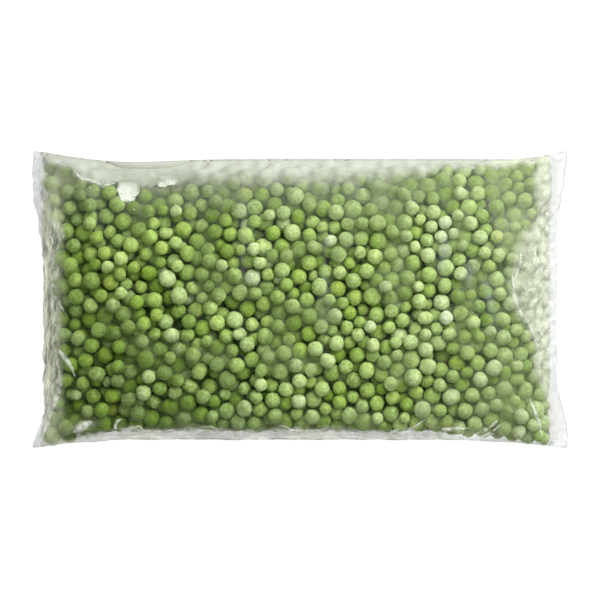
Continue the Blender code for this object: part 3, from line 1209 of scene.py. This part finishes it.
def film_marks(film):
    """What the film's look depends on, at each of its points.

    haze is the share of light that its milk holds back, milk the colour of that, with painted light and
    shade in it, and left, right and near are the shares of the crumpled film at those sides.
    """
    x, y = film[..., 0], film[..., 1]
    marks = crumpled(film)

    # Distances from the far edge and past the lines, unevenly
    fine = 0.0020 * clouds(film, 0.0045, 9.0)
    wander = 0.0025 * clouds(film, 0.014, 0.0) + fine
    from_far = film[:, :, -1:, 1] - y + wander
    past_far = y - line_y(FAR_LINE, x) + fine
    past_near = line_y(NEAR_LINE, x) - y + fine
    past_right = side_of(RIGHT_LINE, x, y) + wander
    past_left = fine - side_of(LEFT_LINE, x, y)

    # The band along the far edge: where it ends in a line, how soft that is, and its width elsewhere
    crisp = ramp(-x, 0.098, 0.108)
    blur = 0.0009 + 0.0022 * ramp(-x, 0.126, 0.134)
    width = 0.0105 - 0.0070 * ramp(x, 0.02, 0.12)
    corner = ramp(x, 0.045, 0.095) * ramp(y, 0.045, 0.062)

    # The flat welds, pale streaks of painted sheen along the peas, and painted glints of the light
    fin = np.maximum(ramp(x, 0.1485, 0.1510), ramp(-x, 0.1540, 0.1560))
    streaks = hump(x, -0.0335, 0.0030) * hump(y, 0.036, 0.026)
    streaks += hump(x, 0.0145, 0.0030) * hump(y, 0.015, 0.033)
    glints = hump(x - 0.10 * y, 0.0825, 0.0032) * hump(y, 0.027, 0.011)
    glints += hump(x + 0.25 * y, 0.1125, 0.0028) * hump(y, 0.002, 0.012)
    glints += hump(x, 0.100, 0.0030) * hump(y, 0.014, 0.007)

    right_end = 0.78 - 0.30 * ramp(y, -0.020, -0.045)
    parts = (
        # The clear face
        0.006 * ramp(x, -0.10, 0.02) + 0.035 * ramp(x, 0.05, 0.14),
        0.13 * ramp(from_far, 0.045, 0.012) * (1.0 - 0.6 * corner),
        0.14 * ramp(x, 0.105, 0.130) * hump(y, 0.046, 0.020),
        0.40 * hump(x + 0.9 * y, -0.197, 0.010) * hump(y - 0.35 * x, -0.0305, 0.0022),
        0.10 * streaks,
        0.20 * glints,
        0.45 * hump(x, -0.0937, 0.0028) * hump(y, 0.0710, 0.0038),
        # The band along the far edge
        0.88 * ramp(from_far, 1.9 * width, 0.30 * width) * (1.0 - crisp),
        0.78 * ramp(past_far, -blur, 1.5 * blur) * crisp,
        0.72 * ramp(from_far, 0.0078, 0.0030) * ramp(-x, 0.118, 0.130),
        # The right end
        0.22 * ramp(past_right, -0.006, 0.001),
        0.38 * ramp(past_right, -0.0008, 0.0010) * hump(y, 0.004, 0.034),
        right_end * ramp(x, 0.1290, 0.1475) * ramp(past_right, -0.004, 0.002),
        # The left end
        0.28 * ramp(-x, 0.1380, 0.1480) * (1.0 - 0.75 * ramp(y, 0.052, 0.068)),
        0.45 * ramp(past_left, -0.0015, 0.0015),
        0.70 * ramp(past_left, 0.0015, 0.0085),
        # The slack strip along the near side
        0.34 * ramp(past_near, -0.0020, 0.0015),
        0.28 * ramp(past_near, 0.0000, 0.0055),
    )
    # Soft patches that take on the green of the peas behind them; their green is darker towards the left as
    # painted shade, and the patches at the left end and along the near left side are painted shade
    soft_and_shade_parts = (
        0.28 * ramp(clouds(film, 0.022, 4.0), 0.02, 0.24),
        0.15 * ramp(-x, 0.112, 0.140),
        0.20 * hump(x, 0.127, 0.013),
        0.22 * ramp(-y, 0.060, 0.074) * ramp(-x, -0.070, -0.020),
        0.18 * ramp(y, 0.040, 0.064) * (1.0 - 0.6 * corner),
        0.24 * hump(x, 0.118, 0.030) * hump(y, -0.056, 0.020),
    )
    within = ramp(x, -0.1550, -0.1515) * ramp(from_far, 0.002, 0.006) * ramp(past_near, 0.002, -0.002)
    clear = np.prod(1.0 - np.array(parts), axis=0)
    sharp = np.prod(1.0 - within * np.array(soft_and_shade_parts), axis=0)
    haze = (1.0 - clear * sharp) * (1.0 - fin) + 0.28 * fin
    for middle, half in HOLES:
        haze *= 1.0 - 0.75 * hump(x, middle[0], half[0]) * hump(y, middle[1], half[1])
    for middle, half in FROST:
        haze *= 1.0 - 0.72 * ramp(from_lump(x, y + 0.0007, middle, half), 1.00, 0.72)

    # The colour of the milk, each part over those before it, with its painted light and shade and painted
    # glints, and then of the soft patches with their painted shade
    weights = {
        "far": 1.0,
        "near": ramp(past_near, -0.003, 0.003),
        "left": ramp(-x, 0.132, 0.142) * ramp(from_far, 0.005, 0.011),
        "right": ramp(x, 0.110, 0.125),
        "glint": glints,
        "fin": fin,
    }
    milk = np.zeros((*x.shape, 3))
    for side, weight in weights.items():
        milk += (np.array(MILK_AND_PAINTED_LIGHT[side]) - milk) * np.asarray(weight)[..., None]
    left, right = np.array(SOFT_GREEN_AND_SHADE["left"]), np.array(SOFT_GREEN_AND_SHADE["right"])
    soft_green_and_shade = left + np.multiply.outer(ramp(x, -0.11, 0.12), right - left)
    part = (1.0 - sharp) * clear / np.maximum(1.0 - clear * sharp, 0.01) * (1.0 - fin)
    marks["haze"] = haze
    marks["milk"] = milk + (soft_green_and_shade - milk) * part[..., None]
    return marks


# How each crumpled part of the film looks: how its creases are drawn out, how much painted light and shade
# they lay over its tone, and how wide their white lines of whitened film and painted highlight and their
# dark lines of painted shade are
CREASES = {
    "Near": ((55.0, 430.0, 160.0), 0.30, 0.020),
    "Left": ((480.0, 70.0, 160.0), 0.62, 0.032),
    "Right": ((250.0, 200.0, 160.0), 0.22, 0.012),
}
CREASE_BEND = 0.007  # how far noise shifts the creases, so that they run unevenly


@functools.lru_cache
def creases_group():
    """Crumpled film: long wrinkles, upright pleats, and creases that run every way, with painted shading
    across them, white lines of whitened film and painted highlight, and dark lines of painted shade.
    """
    effects = ("Painted Shading", "White And Highlight", "Painted Shade", "Height")
    taken, given = dict.fromkeys(CREASES, "Float"), dict.fromkeys(effects, "Float")
    group, taken, given = new_group("creased_film", "Shader", taken, given)
    place = object_place(group)
    bent = add_node(group, "ShaderNodeTexNoise", {"Vector": place, "Scale": 110.0, "Detail": 3.0})
    bends = {0: bent.outputs["Color"], 1: (CREASE_BEND, CREASE_BEND, CREASE_BEND), 2: place}
    shifted = vector_node(group, "MULTIPLY_ADD", bends)
    totals = dict.fromkeys(effects, 0.0)
    for zone, (stretch, contrast, width) in CREASES.items():
        drawn = vector_node(group, "MULTIPLY", {0: shifted, 1: stretch})
        folds = noise_node(group, drawn, 1.0, 3.0, 0.6)
        # Painted shading across each fold, a white line of whitened film and painted highlight along it, and
        # a dark line of painted shade beside that
        tone = range_node(group, folds, 0.34, 0.66, 0.6 * contrast, -contrast)
        white = line_at(group, folds, 0.50, width)
        crease_shade = line_at(group, folds, 0.60, width)
        for name, value in zip(effects, (tone, white, crease_shade, folds)):
            totals[name] = math_node(group, "MULTIPLY_ADD", value, taken[zone], totals[name])
    for name, total in totals.items():
        group.links.new(total, given[name])
    return group


def film_material(looks):
    """Clear film, milky where it stands off the peas, and whiter along its creases, with painted shading,
    painted shade lines and painted highlights over them.
    """
    material, tree, milky = new_material("clear_film")
    place = object_place(tree)
    zones = {zone: mark(tree, zone.lower()) for zone in CREASES}
    creased = add_node(tree, "ShaderNodeGroup", zones, node_tree=creases_group())
    tone, white, crease_shade, height = creased.outputs

    # Haze, in smears and scraps where it is neither clear nor thick
    haze = math_node(tree, "ADD", mark(tree, "haze"), looks.haze)
    smeared = vector_node(tree, "MULTIPLY", {0: place, 1: (110.0, 30.0, 60.0)})
    smears = noise_node(tree, smeared, 1.0, 4.0, 0.6)
    scraps = noise_node(tree, place, 300.0, 3.0, 0.6)
    uneven = range_node(tree, math_node(tree, "ADD", smears, scraps), 0.72, 1.28, -0.60, 0.75)
    uneven = math_node(tree, "MULTIPLY", uneven, math_node(tree, "SUBTRACT", 1.0, haze))
    share = math_node(tree, "MULTIPLY_ADD", haze, uneven, haze)
    share = math_node(tree, "MULTIPLY_ADD", white, 0.30, share)
    share = math_node(tree, "MULTIPLY_ADD", crease_shade, 0.12, share)
    share = math_node(tree, "MINIMUM", share, MOST_MILK)

    bump = bump_node(tree, height, 0.6, 0.0010)
    # The milk's colour, lighter and darker by the creases' painted shading, with their dark lines of painted
    # shade and white lines of whitened film and painted highlight
    light = math_node(tree, "ADD", tone, looks.milk)
    colour = vector_node(tree, "SCALE", {0: mark(tree, "milk", "Color"), "Scale": light})
    colour = colour_mix(tree, math_node(tree, "MULTIPLY", crease_shade, 0.50), colour, CREASE_PAINTED_SHADE)
    colour = colour_mix(tree, math_node(tree, "MULTIPLY", white, 0.8), colour, CREASE_WHITE_AND_HIGHLIGHT)
    feed(tree, milky, {"Base Color": colour, "Normal": bump, "Roughness": 0.55, "Specular IOR Level": 0.3})
    clear = add_node(tree, "ShaderNodeBsdfTransparent", {"Color": FILM_TINT})
    gloss = add_node(tree, "ShaderNodeBsdfGlossy", {"Roughness": 0.18, "Normal": bump})

    # The same gloss from both sides, as thin film has
    facing = add_node(tree, "ShaderNodeLayerWeight", {"Blend": 0.5, "Normal": bump})
    edge = math_node(tree, "POWER", facing.outputs["Facing"], 5.0)
    edge = math_node(tree, "MULTIPLY_ADD", edge, GLOSS_EDGE, GLOSS_FACE)
    inner = shader_mix(tree, share, clear.outputs["BSDF"], milky.outputs["BSDF"])
    set_surface(tree, shader_mix(tree, edge, inner, gloss.outputs["BSDF"]))
    return material


class PEABAG_OT_film(bpy.types.Operator):
    """Lays the film over the peas, both faces in one piece, welded at the ends"""

    bl_idname = "pea_bag.film"
    bl_label = "Lay Film"

    def execute(self, context):
        film = film_grid()
        piece = film_mesh("film", film, film_marks(film))
        put_piece(piece, film_material(context.scene.pea_bag_film))
        return {"FINISHED"}


@functools.lru_cache
def upper_film():
    """The upper face of the film, to find its height anywhere."""
    upper = film_grid()[1]
    rows, columns = upper.shape[:2]
    corners = [Vector(point) for point in upper.reshape(-1, 3).tolist()]
    faces = [
        (i * columns + j, (i + 1) * columns + j, (i + 1) * columns + j + 1, i * columns + j + 1)
        for i in range(rows - 1)
        for j in range(columns - 1)
    ]
    return bvhtree.BVHTree.FromPolygons(corners, faces)


def film_height(x, y):
    above = Vector((x, y, 2.0 * HIGH.z))
    hit = upper_film().ray_cast(above, Vector((0.0, 0.0, -1.0)))[0]
    return hit.z if hit else upper_film().find_nearest(Vector((x, y, HIGH.z / 2)))[0].z


def pinched_pleat(name, first, last, line):
    """A narrow ridge along a line on the film, pinched to nothing at its ends.

    first and last are half of its width where it starts and where it ends.
    """
    line = np.array(line)
    widest = max(first, last)
    run = np.concatenate(([0.0], np.cumsum(np.linalg.norm(np.diff(line, axis=0), axis=1))))
    even = np.linspace(0.0, run[-1], 2 + math.ceil(run[-1] / PLEAT_STEP))
    pleat = added(name, bpy.ops.curve.primitive_nurbs_path_add)
    pleat.data.bevel_depth = PLEAT_ROUND * widest
    pleat.data.bevel_resolution = 3
    pleat.data.resolution_u = 2
    pleat.data.use_fill_caps = True
    spline = pleat.data.splines[0]
    spline.points.add(len(even) - len(spline.points))
    spline.order_u = 3
    for point, at in zip(spline.points, even):
        x, y = (float(np.interp(at, run, line[:, axis])) for axis in range(2))
        place = Vector((x, y, widest)) * PLEAT_WAVES
        x += PLEAT_WOBBLE * noise.noise(place)
        y += PLEAT_WOBBLE * noise.noise(place + Vector((0.0, 0.0, 7.0)))
        share = at / run[-1]
        here = (first + (last - first) * share) * max(0.05, math.sin(math.pi * share)) ** 0.5
        point.co = (x, y, film_height(x, y) - PLEAT_SUNK * PLEAT_ROUND * here, 1.0)
        point.radius = here / widest
    activate(pleat)
    bpy.ops.object.convert(target="MESH")
    return bpy.context.object


def pleat_material(looks):
    """Film doubled on itself, white along most of its length."""
    material, tree, milky = new_material("pinched_film")
    streaks = noise_node(tree, object_place(tree), 320.0, 3.0, 0.6)
    white = [part * looks.milk for part in PLEAT_WHITE]
    colour = colour_mix(tree, streaks, (*PLEAT_DULL, 1.0), (*white, 1.0))
    feed(tree, milky, {"Base Color": colour, "Roughness": 0.4})
    clear = add_node(tree, "ShaderNodeBsdfTransparent", {})
    share = range_node(tree, streaks, 0.30, 0.60, 0.25, 0.78)
    share = math_node(tree, "MULTIPLY", share, mark(tree, "ridge"))
    set_surface(tree, shader_mix(tree, share, clear.outputs["BSDF"], milky.outputs["BSDF"]))
    return material


class PEABAG_OT_pleats(bpy.types.Operator):
    """Pinches narrow pleats up from the film where it is drawn in"""

    bl_idname = "pea_bag.pleats"
    bl_label = "Pinch Pleats"

    def execute(self, context):
        pleats = [pinched_pleat(f"pleat_{index}", *pleat) for index, pleat in enumerate(PLEATS)]
        piece = joined("film_pleats", pleats)
        ridges = [min(1.0, max(0.0, (vertex.normal.z - 0.45) / 0.3)) for vertex in piece.data.vertices]
        give_marks(piece.data, {"ridge": np.array(ridges)})
        put_piece(piece, pleat_material(context.scene.pea_bag_film))
        return {"FINISHED"}


def joined(name, pieces):
    deselect_all()
    for piece in pieces:
        piece.select_set(True)
    bpy.context.view_layer.objects.active = pieces[0]
    bpy.ops.object.join()
    piece = bpy.context.object
    piece.name = name
    finish_mesh(piece)
    return piece


def frost_lump(name, middle, half_size):
    """A flat lump with rounded corners and a rough skin, which lies against the film above it."""
    lump = added(name, bpy.ops.mesh.primitive_cube_add, size=2.0, location=(*middle, 0.0))
    with edit_mode():
        bpy.ops.mesh.subdivide(number_cuts=31)
        bpy.ops.transform.tosphere(value=0.30)
    lump.scale = half_size
    bpy.ops.object.transform_apply(location=True, rotation=False, scale=True)
    for size, strength in FROST_GRAIN:
        roughen(lump, "CLOUDS", size, strength)
    for vertex in lump.data.vertices:
        down = (middle[1] - vertex.co.y) / half_size[1]
        vertex.co.x = middle[0] + (vertex.co.x - middle[0]) * lump_width(down)
        vertex.co.z += film_height(vertex.co.x, vertex.co.y) - half_size[2] - FROST_GAP
    return lump


def crumb_shapes():
    shapes = []
    sphere_add = bpy.ops.mesh.primitive_ico_sphere_add
    for index, flat in enumerate((0.8, 0.6)):
        crumb = added(f"crumb_shape_{index}", sphere_add, subdivisions=1, radius=0.5)
        crumb.scale = (1.0, 0.8, flat)
        pucker(crumb, 0.12, index + 61)
        finish_mesh(crumb)
        shapes.append(crumb)
    return shapes


def frost_material():
    material, tree, shader = new_material("frost")
    grain = noise_node(tree, object_place(tree), 900.0, 4.0, 0.7)
    feed(tree, shader, {
        "Base Color": colour_mix(tree, grain, srgb(204, 208, 194), srgb(228, 231, 220)),
        "Roughness": range_node(tree, grain, 0.3, 0.7, 0.5, 0.9),
        "Normal": bump_node(tree, grain, 0.6, 0.0006),
        "Subsurface Weight": 0.3,
        "Subsurface Radius": (1.0, 1.0, 1.0),
        "Subsurface Scale": 0.0015,
    })
    return material


class PEABAG_OT_frost(bpy.types.Operator):
    """Adds the lumps of frost under the film, and crumbs of it on the peas"""

    bl_idname = "pea_bag.frost"
    bl_label = "Add Frost"

    def execute(self, context):
        chance = np.random.default_rng(context.scene.pea_bag_peas.seed + 2)
        white = frost_material()
        lumps = [frost_lump(f"lump_{index}", *lump) for index, lump in enumerate(FROST)]
        put_piece(joined("frost_lumps", lumps), white)
        centres, radii, _ = heap()
        near_lumps = hump(centres[:, 0], -0.090, 0.024) * ramp(centres[:, 1], 0.045, 0.065)
        top = centres[:, 2] + radii > HIGH.z * 0.55
        weight = near_lumps * top
        chosen = chance.choice(len(centres), CRUMBS, replace=False, p=weight / weight.sum())
        ways = chance.normal(0.0, 1.0, (CRUMBS, 3))
        ways[:, 2] = np.abs(ways[:, 2]) + 0.6
        ways /= np.linalg.norm(ways, axis=1, keepdims=True)
        places = centres[chosen] + ways * radii[chosen, None]
        sizes = chance.uniform(0.0008, 0.0016, CRUMBS)
        crumbs = scatter("frost_crumbs", crumb_shapes(), places, sizes, chance, {})
        put_piece(crumbs, white)
        return {"FINISHED"}


# The stage

class PEABAG_OT_stage(bpy.types.Operator):
    """Sets a plain white floor, soft light from the far right and a camera that looks straight down"""

    bl_idname = "pea_bag.stage"
    bl_label = "Set Stage"

    def execute(self, context):
        stage = context.scene.pea_bag_stage
        self.lay_floor(stage)
        self.add_light("key_light", (0.42, 0.54, 0.74), 1.1, stage.key)
        self.add_light("fill_light", (-0.9, -0.5, 1.3), 1.4, stage.key * FILL_SHARE)
        world = bpy.data.worlds.new("studio")
        world.use_nodes = True
        back = world.node_tree.nodes["Background"]
        back.inputs["Color"].default_value = (1.0, 1.0, 1.0, 1.0)
        back.inputs["Strength"].default_value = stage.sky
        context.scene.world = world
        context.scene.view_settings.view_transform = "Standard"
        lens = bpy.data.cameras.new("camera")
        lens.sensor_width = 36.0
        lens.lens = lens.sensor_width * stage.distance / stage.view
        lens.clip_end = 50.0
        camera = bpy.data.objects.new("camera", lens)
        camera.location = (0.0, CAMERA_Y, stage.distance + CAMERA_RISE)
        context.scene.collection.objects.link(camera)
        context.scene.camera = camera
        return {"FINISHED"}

    def lay_floor(self, stage):
        below = (0.0, 0.0, -FLOOR_DROP)
        floor = added("floor", bpy.ops.mesh.primitive_plane_add, size=stage.floor, location=below)
        finish_mesh(floor)
        material, tree, shader = new_material("white_floor")
        tone = noise_node(tree, object_place(tree), 3.0, 2.0)
        feed(tree, shader, {
            "Base Color": colour_mix(tree, tone, (0.05, 0.05, 0.05, 1.0), (0.06, 0.06, 0.06, 1.0)),
            "Roughness": 0.9,
            "Emission Color": (1.0, 1.0, 1.0, 1.0),
            "Emission Strength": stage.table,
        })
        floor.data.materials.append(material)

    def add_light(self, name, place, size, power):
        lamp = bpy.data.lights.new(name, "AREA")
        lamp.shape = "SQUARE"
        lamp.size = size
        lamp.energy = power
        light = bpy.data.objects.new(name, lamp)
        light.location = place
        light.rotation_euler = (-Vector(place)).to_track_quat("-Z", "Y").to_euler()
        bpy.context.scene.collection.objects.link(light)


class PEABAG_PT_panel(bpy.types.Panel):
    """Lists the steps that make the bag"""

    bl_label = "Pea Bag"
    bl_idname = "PEABAG_PT_panel"
    bl_space_type = "VIEW_3D"
    bl_region_type = "UI"
    bl_category = "Pea Bag"

    def draw(self, context):
        for name, settings in SETTINGS.items():
            box = self.layout.box()
            for label in settings.__annotations__:
                box.prop(getattr(context.scene, name), label)
        for step in STEPS:
            self.layout.operator(step.bl_idname)


STEPS = (
    PEABAG_OT_fill, PEABAG_OT_core, PEABAG_OT_film, PEABAG_OT_pleats, PEABAG_OT_frost, PEABAG_OT_stage,
)
CLASSES = (*SETTINGS.values(), *STEPS, PEABAG_PT_panel)


def register():
    for each in CLASSES:
        bpy.utils.register_class(each)
    for name, settings in SETTINGS.items():
        setattr(bpy.types.Scene, name, bpy.props.PointerProperty(type=settings))


def unregister():
    for name in SETTINGS:
        delattr(bpy.types.Scene, name)
    for each in reversed(CLASSES):
        bpy.utils.unregister_class(each)


def main():
    register()
    bpy.ops.pea_bag.fill()
    bpy.ops.pea_bag.core()
    bpy.ops.pea_bag.film()
    bpy.ops.pea_bag.pleats()
    bpy.ops.pea_bag.frost()
    bpy.ops.pea_bag.stage()


if __name__ == "__main__":
    main()
